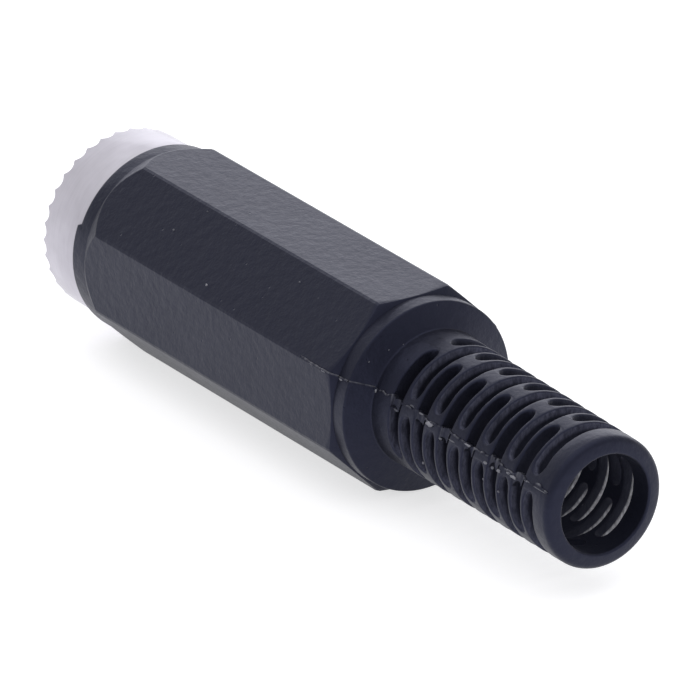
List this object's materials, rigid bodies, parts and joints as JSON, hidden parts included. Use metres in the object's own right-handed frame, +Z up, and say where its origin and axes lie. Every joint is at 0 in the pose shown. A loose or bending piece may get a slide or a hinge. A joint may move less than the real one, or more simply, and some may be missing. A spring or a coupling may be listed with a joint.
{
  "type": "dc barrel jack",
  "caption": "In-line barrel power socket with a toothed plated collar, an octagonal screw-on cover and a slotted strain-relief tail for the cable.",
  "frame": {"origin": "centre of the mouth, in the plane of the tips of the collar's teeth", "axes": "+X out of the mouth along the axis, so the cable tail points to -X; +Z up from the flat of the cover that it lies on"},
  "size_m": [0.0456, 0.011, 0.011],
  "materials": {
    "cover_plastic": "moulded satin black",
    "collar_plating": "satin nickel plate on brass",
    "insert_plastic": "moulded black",
    "pin_plating": "bright nickel plate on brass",
    "terminal_plating": "tin plate on brass sheet",
    "washer_fibre": "vulcanised fibre"
  },
  "bodies": {
    "socket": {"collar": "collar_plating", "insert": "insert_plastic", "centre_pin": "pin_plating", "sleeve_terminal": "terminal_plating", "washer": "washer_fibre", "centre_terminal": "terminal_plating"},
    "cover": {"cover": "cover_plastic"}
  },
  "joints": [
    {"name": "cover_unscrew", "type": "slide", "parent": "socket", "child": "cover", "axis": [-1, 0, 0], "range_m": [0, 0.024]}
  ]
}
